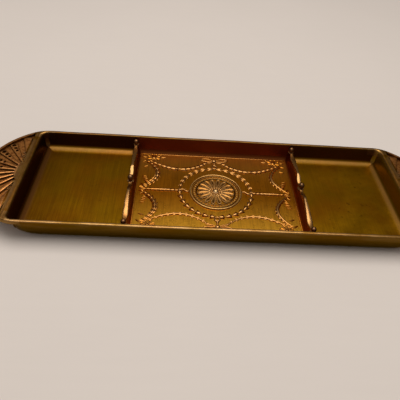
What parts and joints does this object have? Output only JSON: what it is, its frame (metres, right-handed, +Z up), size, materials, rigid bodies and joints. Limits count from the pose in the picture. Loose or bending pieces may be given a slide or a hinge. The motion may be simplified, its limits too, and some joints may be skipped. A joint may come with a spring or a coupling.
{
  "type": "dresser tray",
  "caption": "Long low gilt cast tray with arched fan handles, an ornamented floor plate and crested dividers that part its well into compartments.",
  "frame": {"origin": "centre of the footprint, on the surface under the felt pads", "axes": "+X along the tray's length, +Y across it towards its back wall, +Z up"},
  "size_m": [0.252, 0.076, 0.0133],
  "materials": {
    "gilt_tray": "aged gilt, satin, brushed floor",
    "gilt_relief": "warm aged gilt with dark recesses",
    "gilt_divider": "aged gilt, worn bright on the crest",
    "screw_brass": "dull brass",
    "felt": "pressed felt"
  },
  "bodies": {
    "root": {"tray_body": "gilt_tray", "relief_panel": "gilt_relief", "center_rivet": "gilt_relief", "left_divider": "gilt_divider", "right_divider": "gilt_divider", "divider_screws": "screw_brass", "felt_pad_front_left": "felt", "felt_pad_front_right": "felt", "felt_pad_back_left": "felt", "felt_pad_back_right": "felt"}
  },
  "joints": []
}
